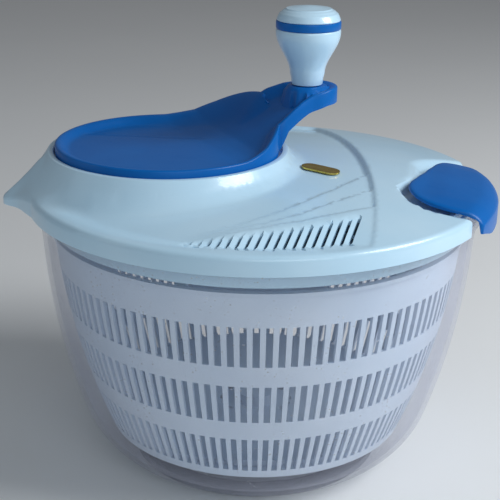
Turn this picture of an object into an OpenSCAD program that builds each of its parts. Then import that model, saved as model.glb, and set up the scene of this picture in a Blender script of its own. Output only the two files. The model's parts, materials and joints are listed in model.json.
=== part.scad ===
// Salad spinner: a clear bowl, a slotted basket and a geared lid with a crank, a knob and a sliding latch.
// The origin is the centre of the base, on the bench. +Z is up, +X is towards the latch side, in mm.

/* [Bowl] */
// Radius of the bowl's outside, just under its flared rim
bowl_r = 120; // [96:1:150]
// Height of the bowl's rim above the bench
bowl_h = 157.5; // [125:0.5:195]
// Thickness of the bowl's wall
bowl_wall = 2.4; // [1.8:0.1:3.5]
// How far the edge of the base is inside the bowl's radius
base_inset = 44; // [30:1:60]
// How far the top of the heel is inside the bowl's radius
heel_inset = 19; // [12:1:26]
// Height of the top of the heel above the bench
heel_h = 33; // [26:1:44]
// How far the rim stands out past the bowl's radius
rim_flare = 4.3; // [2:0.1:6]

/* [Basket] */
// Space between the basket's rim and the bowl's inside
basket_gap = 2.6; // [1.5:0.1:6]
// Thickness of the basket's wall
basket_wall = 2; // [1.4:0.1:3]
// Height of the basket's floor above the bench
basket_floor_h = 20.6; // [18:0.1:28]
// Number of slots round the basket
slot_count = 108; // [60:4:120]
// Share of the slot pitch that is open
slot_share = 0.56; // [0.4:0.01:0.65]
// Height of the plain bands between the rows of slots
band_h = 12; // [8:0.5:18]

/* [Lid] */
// Height of the lid's outer skirt
skirt_h = 10; // [8:0.5:14]
// Rise of the lid's top from its edge to its centre
dome_rise = 13; // [8:0.5:18]
// Depth of the sunken panel on the lid's top
panel_step = 1.8; // [1:0.1:2.4]
// Thickness of the lid's plastic
lid_wall = 2.2; // [1.6:0.1:3]
// Distance from the lid's centre to the crank's axis
crank_off = 50; // [50:0.5:60]
// Height of the turret's top above the lid's edge
turret_h = 17.5; // [16:0.5:24]
// How far the tip of the pouring spout stands past the lid's edge
spout_out = 13.5; // [10:0.5:20]
// Direction of the pouring spout
spout_az = 187; // [175:1:200]

/* [Crank and knob] */
// Distance from the crank's axis to the knob's axis
crank_reach = 78; // [70:1:95]
// Direction of the crank's arm
crank_az = 12.5; // [0:0.5:30]
// Height of the arm's top above the crank disc's rim
arm_rise = 26.5; // [20:0.5:36]
// Thickness of the crank's arm
arm_t = 6; // [4.5:0.5:9]
// Radius of the rounded end of the arm
arm_end_r = 17; // [14:0.5:20]
// Height of the knob
knob_h = 43.5; // [38:0.5:60]
// Largest radius of the knob
knob_r = 18; // [15:0.5:24]
// Radius of the knob's foot
knob_foot_r = 8.7; // [8:0.1:11]
// Radius of the knob's pin
knob_pin_r = 4; // [3:0.1:5]

/* [Gears] */
// Ratio of the big gear's teeth to the pinion's
gear_ratio = 3; // [3:1:3]
// Thickness of the gears
gear_t = 6; // [4:0.5:6]
// Radius of the drive axle
axle_r = 3; // [2.5:0.1:4]

/* [Latch] */
// Direction of the latch
latch_az = -12; // [-20:1:20]
// Travel of the latch, from open to locked
latch_travel = 4; // [3:0.5:8]
// Thickness of the latch's top
latch_t = 2.8; // [2:0.1:3.2]
// Half of the latch's width at the lid's edge
latch_half_w = 44; // [38:1:60]

/* [Hidden] */
$fn = 96;
run = 0.05;       // radial clearance of a running fit
seat = 0.02;      // radial clearance of a part that is pressed or glued in
eps = 0.01;       // how far a cut runs past a face
gap = 0.3;        // clearance between parts that only face each other

// Bowl
ring_h = 3;
ring_groove = 1;
ring_w = 9;
foot_r = bowl_r - base_inset - 4.6;
base_r = bowl_r - base_inset;
heel_r = bowl_r - heel_inset;
rim_r = bowl_r + rim_flare;
neck_h = bowl_h - 22.5;
flare_h = bowl_h - 8;
heel_bow = 3.8;
wall_bow = 3.5;
boss_r = 9;
pin_r = 4;
pin_foot_h = 7;
pin_top_h = basket_floor_h + 4;

// Basket
basket_top = neck_h;
basket_rim_r = bowl_r - bowl_wall - basket_gap;
basket_lip = 1.5;
basket_side_r = basket_rim_r - basket_lip;
basket_base_r = heel_r - bowl_wall - 13;
basket_bow = 4.5;
basket_floor_t = 2.2;
slot_rows = 3;
slot_top = basket_top - 17;
slot_bottom = basket_floor_h + 5;
row_pitch = (slot_top - slot_bottom + band_h) / slot_rows;
slot_h = row_pitch - band_h;
bush_r = 8;
bush_flange_r = 11;
bush_flange_h = 2;
bush_foot_h = basket_floor_h - 7.4;
bush_top_h = pin_top_h + 2.4;
hub_r = 11;
hub_foot_h = bush_foot_h + bush_flange_h + gap;
hub_top_h = bush_top_h + gap + 2;

// Lid
skirt_wall = 2;
skirt_z = bowl_h - 7.5;
edge_z = skirt_z + skirt_h;
lid_r = rim_r + 0.7 + skirt_wall;
edge_fillet = 3;
dome_r = lid_r - edge_fillet;
dome_sphere = (dome_r * dome_r + dome_rise * dome_rise) / (2 * dome_rise);
rim_seat_z = bowl_h + gap;
spigot_r = bowl_r - bowl_wall - 1;
spigot_wall = 2.2;
spigot_z = neck_h + 5;
panel_edge_x = dome_r / 2 - 1;
panel_edge_y = -30;
panel_edge_r = 480;
panel_rim = 4.5;
turret_edge = 11;
turret_r = lid_r - crank_off - turret_edge;
turret_flank = 6;
turret_top = edge_z + turret_h;
turret_recess = 3.1;
turret_floor = turret_top - turret_recess;
turret_in_r = turret_r - 4;
turret_in_z = turret_floor - lid_wall;
vent_count = 18;
vent_w = 2.4;
vent_pitch = 4.46;
vent_start_x = -32.5;
vent_lean = 76.5;
vent_r = dome_r - 7;
vent_short = 4;
vent_long = 29.5;

spout_tip_r = lid_r + spout_out;
spout_under_z = skirt_z;
spout_half_w = 28;

emblem_at = [33.5, -16];
emblem_l = 22;
emblem_w = 10;
emblem_t = 0.8;
emblem_az = -28;

// Crank
crank_r = turret_r - 4;
crank_z = turret_floor + 1.3;
crank_rim_z = turret_top + 5.5;
crank_floor_t = 3.3;
crank_lip = 3;
crank_hub_r = 11;
crank_hub_z = crank_z - 7.5;
arm_top = crank_rim_z + arm_rise;
knob_x = crank_reach;
arm_start = 32;
arm_foot = 50;
arm_stop = knob_x - 9;
arm_root_w = 46;
hex_r = 8;
pin_head_r = 7;
pin_head_t = 2.5;

// Gears
gear_teeth = 60;
pinion_teeth = gear_teeth / gear_ratio;
gear_m = 2 * crank_off / (gear_teeth + pinion_teeth);
gear_z = crank_hub_z - gear_t - 0.2;
backlash = 0.25;
cover_top = gear_z - 4;
cover_t = 2.5;
cover_boss_h = 3;
screw_boss_r = 3.5;
screw_r = 1.5;
screw_ring_r = gear_m * gear_teeth / 2 + 8.5;
pinion_boss_x = gear_m * pinion_teeth / 2 + 8.5;
cover_screws = concat(
    [for (a = [90, 150, 210, 270]) [-crank_off + screw_ring_r * cos(a), screw_ring_r * sin(a)]],
    [[pinion_boss_x, 0]]);
axle_bush_r = 5.5;
plate_z = spigot_z + 1.5;
plate_t = 2.5;
plate_r = spigot_r - spigot_wall - 2;
lug_count = 6;
lug_az = -109.7;
lug_w = 6;
lug_t = 3.6;
lug_z = basket_top - 7;
lug_r = basket_at(lug_z) - basket_wall - 0.8;
axle_z = plate_z + 2;
axle_top = gear_z + gear_t - 0.5;

// Knob
knob_z = arm_top + gap;
knob_body_h = knob_h - 12.5;
knob_ring_h = 4.4;
knob_cavity_r = 10;
knob_cavity_h = 9;
clip_z = knob_z + knob_body_h - knob_cavity_h;

// Latch
latch_out = latch_travel + 0.5;
latch_edge_x = lid_r + latch_out;
latch_tip_x = lid_r - 40;
latch_tip_y = 19;
latch_shoulder_x = lid_r - 12;
scallop_depth = 4.5;
scallop_y = latch_tip_y - 1.5;
scallop_r = (scallop_y * scallop_y + scallop_depth * scallop_depth) / (2 * scallop_depth);
latch_skin = 2;
latch_lift = 1;
pocket_gap = latch_travel + 1;
pocket_depth = 5.5;
pocket_wall = 2;
pocket_r = spigot_r;
hook_z = flare_h - 9.5;
hook_h = 3;
latch_post_r = 3;
latch_post_x = lid_r - 24;
latch_post_y = 20;
retainer_t = 2;
retainer_edge = 4.5;
retainer_r = norm([latch_post_x + retainer_edge, latch_post_y + retainer_edge]);
post_low = dome(retainer_r) - pocket_depth - pocket_wall - gap;

// ---- shared shapes ----

// An arc from a to b that bows out to the right of its path, moved in towards its centre by inset
function arc(a, b, bow, n, inset = 0) =
    let (d = b - a, chord = norm(d), r = (chord * chord / 4 + bow * bow) / (2 * bow))
    let (right = [d[1], -d[0]] / chord, o = (a + b) / 2 - right * (r - bow))
    let (start = atan2(a[1] - o[1], a[0] - o[0]), sweep = 2 * asin(chord / 2 / r))
    [for (i = [0:n]) o + (r - inset) * [cos(start + sweep * i / n), sin(start + sweep * i / n)]];

function reverse(list) = [for (i = [len(list) - 1:-1:0]) list[i]];

// Height of the lid's domed top at a radius
function dome(r) = edge_z + dome_rise - dome_sphere + sqrt(dome_sphere * dome_sphere - r * r);

// The dome's line from radius a to radius b, moved down by drop
function dome_line(a, b, drop, n) =
    [for (i = [0:n]) let (r = a + (b - a) * i / n) [r, dome(r) - drop]];

// A line from a to b that sags by sag in its middle
function ridge_line(a, b, sag, n) =
    [for (i = [0:n]) let (t = i / n) a + (b - a) * t - [1, 1] * sag * 4 * t * (1 - t) / sqrt(2)];

// The points and their mirror images across the X axis
function mirrored(list) = concat([for (p = list) [p[0], -p[1]]], reverse(list));

// A slot or pill with round ends along X, from 0 to length
module pill(length, width) {
    translate([width / 2, -width / 2]) square([length - width, width]);
    for (x = [width / 2, length - width / 2]) translate([x, 0]) circle(width / 2, $fn = 24);
}

module tube(r, bore, z, h) {
    translate([0, 0, z]) difference() {
        cylinder(h, r = r);
        translate([0, 0, -eps]) cylinder(h + 2 * eps, r = bore);
    }
}

// A pan head screw that points along its own +Z, with the head below z = 0
module screw(r, length, head_r, head_h) {
    cylinder(length, r = r, $fn = 32);
    difference() {
        translate([0, 0, -head_h]) cylinder(head_h, r = head_r, $fn = 48);
        for (a = [0, 90]) rotate(a) translate([-head_r * 0.6, -0.5, -head_h - eps])
            cube([head_r * 1.2, 1, head_h * 0.5]);
    }
}

module at_crank() {
    translate([-crank_off, 0, 0]) children();
}

module at_knob() {
    at_crank() rotate(crank_az) translate([knob_x, 0, 0]) children();
}

module at_latch() {
    rotate(latch_az) children();
}

// ---- bowl ----

function bowl_side(inset) = concat(
    arc([base_r, ring_h], [heel_r, heel_h], heel_bow, 10, inset),
    arc([heel_r, heel_h], [bowl_r, neck_h], wall_bow, 14, inset),
    [[bowl_r + 0.7 - inset, neck_h + 6], [rim_r - inset, flare_h]]);

module bowl() color([0.80, 0.83, 0.92, 0.45]) {
    difference() {
        union() {
            rotate_extrude($fn = 180) polygon(concat(
                [[0, ring_h]],
                bowl_side(0),
                [[rim_r, bowl_h - 0.6], [rim_r - 0.6, bowl_h]],
                [[rim_r - bowl_wall + 0.6, bowl_h], [rim_r - bowl_wall, bowl_h - 0.6]],
                reverse([for (p = bowl_side(bowl_wall)) if (p[1] > ring_h + bowl_wall) p]),
                [[0, ring_h + bowl_wall]]));
            cylinder(pin_top_h - 12, r = boss_r);
        }
        tube(foot_r + 0.1, foot_r - ring_w - 0.1, ring_h - 1, ring_groove + 1);
        translate([0, 0, -eps]) cylinder(ring_h + eps, r = boss_r + 1);
        translate([0, 0, pin_foot_h]) cylinder(pin_top_h, r = pin_r + seat);
    }
}

module non_slip_ring() color([0.35, 0.36, 0.40]) {
    tube(foot_r, foot_r - ring_w, 0, ring_h + ring_groove);
}

module pivot_pin() color("silver") {
    translate([0, 0, pin_foot_h]) cylinder(pin_top_h - pin_foot_h - 1, r = pin_r);
    translate([0, 0, pin_top_h - 1]) cylinder(1, r1 = pin_r, r2 = pin_r - 1);
}

// ---- basket ----

module basket_bush() color([0.85, 0.85, 0.82]) difference() {
    union() {
        translate([0, 0, bush_foot_h]) cylinder(bush_flange_h, r = bush_flange_r);
        translate([0, 0, bush_foot_h]) cylinder(bush_top_h - bush_foot_h, r = bush_r);
    }
    translate([0, 0, bush_foot_h - eps]) cylinder(pin_top_h - bush_foot_h + gap, r = pin_r + run);
}

function basket_side(inset) =
    arc([basket_base_r, basket_floor_h], [basket_side_r, basket_top], basket_bow, 14, inset);

// Radius of the basket's side at a height
function basket_at(z) =
    let (side = basket_side(0), i = max([for (k = [0:len(side) - 2]) if (side[k][1] <= z) k]))
    side[i][0] + (side[i + 1][0] - side[i][0]) * (z - side[i][1]) / (side[i + 1][1] - side[i][1]);

module slot_row(z, h) {
    low_r = basket_at(z) - basket_wall - 3;
    high_r = basket_at(z + h) + 2;
    slot_w = slot_share * 2 * PI * basket_at(z + h / 2) / slot_count;
    for (i = [0:slot_count - 1]) rotate(i * 360 / slot_count)
        translate([low_r, -slot_w / 2, z]) cube([high_r - low_r, slot_w, h]);
}

module floor_slots(inner, outer, count) {
    for (i = [0:count - 1]) rotate(i * 360 / count) translate([inner, 0, basket_floor_h - 1])
        linear_extrude(basket_floor_t + 2) pill(outer - inner, 4);
}

module at_lugs() {
    for (i = [0:lug_count - 1]) rotate(lug_az + i * 360 / lug_count) children();
}

module basket() color([0.93, 0.94, 0.97]) {
    difference() {
        union() {
            rotate_extrude($fn = 180) polygon(concat(
                [[hub_r - 2, basket_floor_h]],
                basket_side(0),
                [[basket_rim_r, basket_top], [basket_rim_r, basket_top + 2]],
                [[basket_side_r - basket_wall, basket_top + 2]],
                reverse([for (p = basket_side(basket_wall))
                    if (p[1] > basket_floor_h + basket_floor_t) p]),
                [[hub_r - 2, basket_floor_h + basket_floor_t]]));
            translate([0, 0, hub_foot_h]) cylinder(hub_top_h - hub_foot_h, r = hub_r);
        }
        for (row = [0:slot_rows - 1]) slot_row(slot_bottom + row * row_pitch, slot_h);
        floor_slots(hub_r + 7, basket_base_r * 0.48, 18);
        floor_slots(basket_base_r * 0.55, basket_base_r - 9, 36);
        translate([0, 0, hub_foot_h - eps]) cylinder(bush_top_h - hub_foot_h + gap, r = bush_r + run);
    }
    // pairs of ribs that the drive lugs push against
    at_lugs() for (side = [-1, 1]) difference() {
        translate([lug_r - lug_t, side * (lug_w / 2 + 1.8) - 1, lug_z - 6])
            cube([basket_side_r - basket_wall / 2 - lug_r + lug_t, 2, basket_top - lug_z + 4]);
        translate([0, 0, lug_z - 7]) difference() {
            cylinder(20, r = basket_rim_r + 5);
            translate([0, 0, -1]) cylinder(22, r = basket_at(lug_z - 6) - basket_wall / 2);
        }
    }
}

// ---- lid ----

// The lid's outer shape, filled
module lid_filled(drop = 0) rotate_extrude($fn = 180) polygon(concat(
    [[0, skirt_z], [lid_r - drop, skirt_z]],
    arc([lid_r - drop, edge_z - edge_fillet], [dome_r, edge_z - drop], 0.8, 5),
    dome_line(dome_r, 0, drop, 20)));

// The space under the lid's dome, inside the ring that fits into the bowl
module lid_room() rotate_extrude($fn = 180) polygon(concat(
    [[0, skirt_z - 12], [spigot_r - spigot_wall, skirt_z - 12]],
    dome_line(spigot_r - spigot_wall, 0, lid_wall, 18)));

// The groove that the bowl's rim stands in
module rim_groove() tube(lid_r - skirt_wall, spigot_r, skirt_z - 12, rim_seat_z - skirt_z + 12, $fn = 180);

// A ring of the lid between two depths under its dome, on the crank side of the panel's curved edge
module panel(top, bottom, reach) intersection() {
    rotate_extrude($fn = 180) polygon(concat(
        dome_line(0, dome_r - reach, top, 20),
        dome_line(dome_r - reach, 0, bottom, 20)));
    translate([panel_edge_x - panel_edge_r, panel_edge_y, edge_z - 10])
        cylinder(dome_rise + 20, r = panel_edge_r + bottom / 10, $fn = 720);
}

module turret_outside() at_crank() rotate_extrude($fn = 128) polygon([
    [0, edge_z - 4], [turret_r + turret_flank, edge_z - 4], [turret_r + turret_flank, edge_z + 2],
    [turret_r + 1, turret_top - 3], [turret_r, turret_top], [0, turret_top]]);

module turret_inside() at_crank() {
    translate([0, 0, skirt_z - 5]) cylinder(turret_in_z - skirt_z + 5, r = turret_in_r);
    translate([0, 0, turret_floor]) cylinder(turret_h, r = crank_r + 0.8);
}

// The beak is the part that a side view, a plan and a cross-section have in common
module spout_side(inset) rotate([90, 0, 0]) translate([0, 0, -lid_r]) linear_extrude(2 * lid_r)
    polygon(concat(
        [[dome_r - 30, spout_under_z - 5 * inset], [lid_r + 5, spout_under_z - 5 * inset]],
        [[spout_tip_r - 4, spout_under_z - 0.5 - 5 * inset], [spout_tip_r - 1 - inset, spout_under_z + 0.5]],
        [[spout_tip_r - inset, spout_under_z + 2]],
        ridge_line([spout_tip_r - 2 - inset, spout_under_z + 5.5 - inset],
            [crank_off + turret_r - 2, turret_top - 0.5 - inset], 0.4, 8),
        [[dome_r - 30, turret_top - 0.5 - inset]]));

module spout_plan(inset) translate([0, 0, skirt_z - 10]) linear_extrude(turret_top) polygon(
    mirrored([[dome_r - 30, 36 - inset], [lid_r - 4, spout_half_w - inset], [lid_r + 5, spout_half_w / 2 - inset],
        [spout_tip_r - 2 - inset, 4.5 - inset / 2], [spout_tip_r - inset, 2 - inset / 2]]));

module spout_section(inset) translate([dome_r - 40, 0, 0]) rotate([90, 0, 90]) linear_extrude(spout_tip_r)
    polygon([[-40, skirt_z - 10], [40, skirt_z - 10], [40, edge_z - inset], [spout_half_w - 3, edge_z + 1 - inset],
        [9, turret_top - inset], [-9, turret_top - inset], [3 - spout_half_w, edge_z + 1 - inset],
        [-40, edge_z - inset]]);

module spout(inset) rotate(spout_az) intersection() {
    spout_side(inset);
    spout_plan(inset);
    spout_section(inset);
}

module vents() {
    for (i = [0:vent_count - 1]) {
        x = vent_start_x + i * vent_pitch;
        length = vent_short + (vent_long - vent_short) * i / (vent_count - 1);
        translate([x, -sqrt(vent_r * vent_r - x * x), edge_z - 12]) rotate(vent_lean)
            linear_extrude(40) pill(length, vent_w);
    }
}

// Plan of the latch, or of its pocket with room for the travel, in the latch's own direction
module latch_plan(grow) {
    widen = grow / 2;
    difference() {
        polygon(mirrored([
            [latch_tip_x - grow, latch_tip_y + widen],
            [latch_shoulder_x - grow, latch_half_w + widen],
            [lid_r + 30, latch_half_w + widen]]));
        if (grow == 0) translate([latch_tip_x + scallop_depth - scallop_r, 0]) circle(scallop_r);
    }
}

module latch_prism(grow) translate([0, 0, skirt_z - 30]) linear_extrude(80) latch_plan(grow);

// The tray that the latch slides in
module latch_tray() intersection() {
    at_latch() latch_prism(pocket_gap + 2 * pocket_wall);
    rotate_extrude($fn = 180) polygon(concat(
        dome_line(30, pocket_r, lid_wall / 2, 12),
        dome_line(pocket_r, 30, pocket_depth + pocket_wall, 12)));
}

module latch_tray_room() {
    at_latch() intersection() {
        latch_prism(pocket_gap);
        rotate(-latch_az) rotate_extrude($fn = 180) polygon(concat(
            dome_line(30, pocket_r, pocket_depth, 12),
            [[pocket_r, skirt_z - 20], [lid_r + 20, skirt_z - 20], [lid_r + 20, edge_z + 20]],
            [[30, edge_z + dome_rise + 20]]));
    }
    at_latch() for (side = [-1, 1])
        translate([latch_post_x - latch_travel - latch_post_r - gap, side * latch_post_y, skirt_z])
            linear_extrude(20) pill(latch_travel + 2 * latch_post_r + 2 * gap, 2 * (latch_post_r + gap));
}

module screw_bosses() intersection() {
    union() {
        lid_filled(panel_step + lid_wall / 2);
        turret_outside_low();
    }
    for (p = cover_screws) translate([p[0], p[1], cover_top]) cylinder(40, r = screw_boss_r, $fn = 32);
}

module turret_outside_low() at_crank()
    translate([0, 0, edge_z]) cylinder(turret_in_z + 0.5 - edge_z, r = turret_in_r + 2);

module lid_outside() {
    difference() {
        lid_filled();
        panel(-1, panel_step, panel_rim);
    }
    turret_outside();
    spout(0);
}

module lid_shell() color([0.88, 0.91, 0.97]) {
    difference() {
        union() {
            difference() {
                lid_outside();
                difference() {
                    lid_room();
                    panel(lid_wall / 2, lid_wall + panel_step, 12);
                }
                rim_groove();
            }
            latch_tray();
            tube(spigot_r, spigot_r - spigot_wall, spigot_z, rim_seat_z - spigot_z, $fn = 180);
        }
        turret_inside();
        spout(1);
        latch_tray_room();
        vents();
        at_crank() translate([0, 0, turret_in_z - 1]) cylinder(10, r = crank_hub_r + 2.5 + seat);
    }
    difference() {
        screw_bosses();
        for (p = cover_screws) translate([p[0], p[1], cover_top - 1]) cylinder(8.5, r = screw_r + seat, $fn = 32);
    }
}

module emblem() color([0.80, 0.66, 0.25]) intersection() {
    translate([emblem_at[0], emblem_at[1], edge_z]) rotate(emblem_az) translate([-emblem_l / 2, 0, 0])
        linear_extrude(30) pill(emblem_l, emblem_w);
    panel(panel_step - emblem_t, panel_step, panel_rim);
}

// ---- gear train ----

// Involute angle of the flank at radius r on a base circle
function inv_at(r, base) = sqrt(max(0, r * r / (base * base) - 1)) * 180 / PI - acos(min(1, base / r));

function tooth(teeth, tip) =
    let (pitch_r = gear_m * teeth / 2, base = pitch_r * cos(20), root = pitch_r - 1.2 * gear_m)
    let (low = max(base, root) + 0.01, steps = 4)
    let (half = 90 / teeth - backlash / 2 / pitch_r * 90 / PI + inv_at(pitch_r, base))
    let (flank = [for (i = [0:steps]) let (r = low + (tip - low) * i / steps) [r, half - inv_at(r, base)]])
    concat([[root, -flank[0][1] - 0.4 * 90 / teeth * 0.5]],
        [for (p = flank) [p[0], -p[1]]], reverse(flank),
        [[root, flank[0][1] + 0.4 * 90 / teeth * 0.5]]);

module gear_plan(teeth) {
    outline = tooth(teeth, gear_m * teeth / 2 + 0.95 * gear_m);
    polygon([for (k = [0:teeth - 1], p = outline)
        let (a = p[1] + k * 360 / teeth) p[0] * [cos(a), sin(a)]]);
}

module crank_gear() color("white") at_crank() difference() {
    union() {
        translate([0, 0, gear_z]) linear_extrude(gear_t) difference() {
            gear_plan(gear_teeth);
            for (a = [0:60:300]) rotate(a + 30) translate([23, 0]) circle(7.5);
        }
    }
    translate([0, 0, gear_z - 1]) cylinder(gear_t + 2, r = hex_r + 0.1, $fn = 6);
}

module crank_bush() color([0.2, 0.2, 0.22]) at_crank() {
    tube(crank_hub_r + 2.5, crank_hub_r + run, turret_in_z - 0.6, lid_wall + 0.6);
    tube(crank_hub_r + 5, crank_hub_r + run, turret_floor, 1);
}

module crank_washer() color("silver") at_crank() tube(11.5, 2.2, gear_z - 1.2, 1.2);

module crank_screw() color("silver") at_crank()
    translate([0, 0, gear_z - 1.2]) screw(2, 10, 5, 1.8);

module gear_cover() color([0.85, 0.88, 0.93]) difference() {
    union() {
        translate([0, 0, cover_top - cover_t]) linear_extrude(cover_t) intersection() {
            union() {
                translate([-crank_off, 0]) circle(screw_ring_r + 4.5);
                circle(pinion_boss_x + 4.5);
            }
            circle(spigot_r - spigot_wall - gap, $fn = 180);
        }
        translate([0, 0, cover_top - cover_t - cover_boss_h]) cylinder(cover_boss_h + 1, r = axle_bush_r + 3.5);
    }
    translate([0, 0, cover_top - 20]) cylinder(30, r = axle_bush_r + seat);
    for (p = cover_screws) translate([p[0], p[1], cover_top - 10]) cylinder(20, r = screw_r + 0.2, $fn = 32);
}

module gear_cover_screws() color("silver")
    for (p = cover_screws) translate([p[0], p[1], cover_top - cover_t]) screw(screw_r, 8, 2.9, 1.6);

module axle_bush() color([0.85, 0.7, 0.35]) {
    tube(axle_bush_r, axle_r + run, cover_top - cover_t - cover_boss_h, cover_t + cover_boss_h);
    tube(axle_bush_r + 2.5, axle_r + run, cover_top, 1.2);
}

module drive_pinion() color("white") difference() {
    union() {
        translate([0, 0, gear_z]) linear_extrude(gear_t) rotate(180 / pinion_teeth) gear_plan(pinion_teeth);
        translate([0, 0, cover_top + 1.4]) cylinder(gear_z - cover_top - 1.4, r = 7.5);
    }
    translate([0, 0, cover_top]) cylinder(20, r = axle_r + seat);
}

module drive_axle() color("silver") difference() {
    translate([0, 0, axle_z]) cylinder(axle_top - axle_z, r = axle_r);
    translate([0, 0, axle_z - eps]) cylinder(9, r = 1.5 + seat, $fn = 32);
}

module drive_screw() color("silver") translate([0, 0, plate_z]) screw(1.5, 9, 4.5, 2);

module drive_plate() color([0.93, 0.94, 0.97]) difference() {
    union() {
        translate([0, 0, plate_z]) cylinder(plate_t, r = plate_r, $fn = 180);
        translate([0, 0, plate_z]) cylinder(cover_top - cover_t - cover_boss_h - gap - plate_z, r = 8.5);
        for (r = [plate_r - 2, 60]) tube(r, r - 2, plate_z + plate_t - 0.5, 4);
        for (a = [0:60:300]) rotate(a) translate([5, -1, plate_z + plate_t - 0.5]) cube([plate_r - 8, 2, 4]);
        at_lugs() translate([lug_r - lug_t, -lug_w / 2, lug_z]) cube([lug_t, lug_w, plate_z - lug_z + 1]);
    }
    translate([0, 0, axle_z]) cylinder(30, r = axle_r + seat);
    translate([0, 0, plate_z - 1]) cylinder(20, r = 1.7, $fn = 32);
    for (i = [0:11]) rotate(15 + i * 30) translate([70, 0, plate_z - 1]) linear_extrude(plate_t + 2) pill(24, 8);
}

// ---- crank ----

// A smooth step from 0 at a to 1 at b
function smooth_step(x, a, b) = let (t = max(0, min(1, (x - a) / (b - a)))) t * t * (3 - 2 * t);

// Height of the arm's top and of its underside along its length
function arm_upper(x) = crank_rim_z - 3 + (arm_rise + 3) * smooth_step(x, arm_start, arm_stop);
function arm_lower(x) = crank_z - 1 + (arm_top - arm_t - crank_z + 1) * smooth_step(x, arm_foot, arm_stop);

module arm_side() {
    xs = concat([-20], [for (i = [0:16]) arm_start + (arm_stop - arm_start) * i / 16], [knob_x + arm_end_r + 5]);
    rotate([90, 0, 0]) translate([0, 0, -crank_r]) linear_extrude(2 * crank_r)
        polygon(concat([for (x = xs) [x, arm_upper(x)]], reverse([for (x = xs) [x, arm_lower(x)]])));
}

module arm_plan() translate([0, 0, crank_z]) linear_extrude(80) {
    translate([knob_x, 0]) circle(arm_end_r);
    polygon([[-20, -arm_root_w], [arm_start, -arm_root_w], [arm_stop - 12, -arm_end_r - 7],
        [knob_x, -arm_end_r], [knob_x, arm_end_r], [arm_stop - 12, arm_end_r + 7],
        [arm_start, arm_root_w], [-20, arm_root_w]]);
}

module crank_dish() rotate_extrude($fn = 144) polygon(concat(
    [[0, crank_z], [crank_r - 1, crank_z], [crank_r, crank_z + 1], [crank_r, crank_rim_z - 1]],
    [[crank_r - 1, crank_rim_z], [crank_r - crank_lip, crank_rim_z]],
    reverse(arc([0, crank_z + crank_floor_t], [crank_r - crank_lip - 1, crank_rim_z - 1.5], 2.5, 8))));

module crank() color([0.05, 0.32, 0.68]) at_crank() rotate(crank_az) difference() {
    union() {
        crank_dish();
        intersection() {
            arm_side();
            arm_plan();
        }
        translate([0, 0, crank_hub_z]) cylinder(crank_z - crank_hub_z + 1, r = crank_hub_r);
        rotate(-crank_az) translate([0, 0, gear_z + 0.3])
            cylinder(crank_hub_z - gear_z, r = hex_r, $fn = 6);
    }
    translate([0, 0, gear_z]) cylinder(10, r = 2 + seat, $fn = 32);
    translate([knob_x, 0, arm_top - arm_t - 10]) cylinder(30, r = knob_pin_r + seat);
}

// ---- knob ----

module knob_pin() color("silver") at_knob() difference() {
    union() {
        translate([0, 0, arm_top - arm_t - pin_head_t]) cylinder(pin_head_t, r = pin_head_r);
        translate([0, 0, arm_top - arm_t]) cylinder(clip_z + 4 - arm_top + arm_t, r = knob_pin_r);
    }
    tube(knob_pin_r + 1, knob_pin_r - 0.8, clip_z + 0.5, 1.2);
}

module knob_body() color([0.93, 0.94, 0.97]) at_knob() difference() {
    translate([0, 0, knob_z]) rotate_extrude($fn = 96) polygon(concat(
        [[0, 0], [knob_foot_r, 0], [knob_foot_r + 0.9, knob_body_h * 0.2]],
        [for (i = [1:10]) let (t = i / 10, s = (1 - cos(180 * t)) / 2)
            [knob_foot_r + 0.9 + (knob_r - knob_foot_r - 0.9) * s, knob_body_h * (0.2 + 0.72 * t)]],
        [[knob_r - 0.3, knob_body_h], [0, knob_body_h]]));
    translate([0, 0, knob_z - 1]) cylinder(knob_h, r = knob_pin_r + run);
    translate([0, 0, clip_z]) cylinder(knob_h, r = knob_cavity_r);
}

module knob_ring() color([0.05, 0.32, 0.68]) at_knob()
    tube(knob_r - 0.2, knob_cavity_r + 1, knob_z + knob_body_h, knob_ring_h);

module knob_cap() color([0.95, 0.96, 0.98]) at_knob() {
    cap_z = knob_z + knob_body_h + knob_ring_h;
    cap_h = knob_h - gap - knob_body_h - knob_ring_h;
    translate([0, 0, cap_z]) rotate_extrude($fn = 96) polygon(concat(
        [[0, 0]],
        arc([knob_r - 0.5, 0], [0, cap_h], 4, 10)));
    translate([0, 0, cap_z - knob_ring_h + gap]) cylinder(knob_ring_h, r = knob_cavity_r + 1 - seat);
}

module knob_clip() color("silver") at_knob() tube(7, knob_pin_r - 0.8 + seat, clip_z + 0.5 + seat, 1);

// ---- latch ----

module latch() color([0.05, 0.32, 0.68]) at_latch() {
    difference() {
        intersection() {
            latch_prism(0);
            translate([latch_out, 0, 0]) rotate_extrude($fn = 180) polygon(concat(
                [[lid_r - latch_skin, hook_z], [lid_r, hook_z], [lid_r, edge_z - 1]],
                dome_line(dome_r, 30, -latch_lift, 14),
                dome_line(30, dome_r - 8, latch_t - latch_lift, 12),
                [[rim_r - 3, rim_seat_z + 0.4], [lid_r - latch_skin, rim_seat_z + 0.4]]));
        }
        translate([0, 0, skirt_z - 40]) cylinder(40 + skirt_h - 4, r = rim_r + 1);
    }
    // hook under the bowl's flare
    intersection() {
        translate([0, 0, hook_z]) linear_extrude(hook_h) translate([bowl_r - 40, -18]) square([80, 36]);
        translate([latch_out, 0, 0])
            tube(lid_r - latch_skin + eps, bowl_r + 1.9 - latch_out + latch_travel, hook_z, hook_h);
    }
    for (side = [-1, 1]) translate([latch_post_x, side * latch_post_y, 0]) difference() {
        translate([0, 0, post_low]) cylinder(dome(latch_post_x - latch_out) + latch_lift - latch_t + 1 - post_low, r = latch_post_r);
        translate([0, 0, post_low - 1]) cylinder(7, r = 1.2 + seat, $fn = 32);
    }
}

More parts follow.
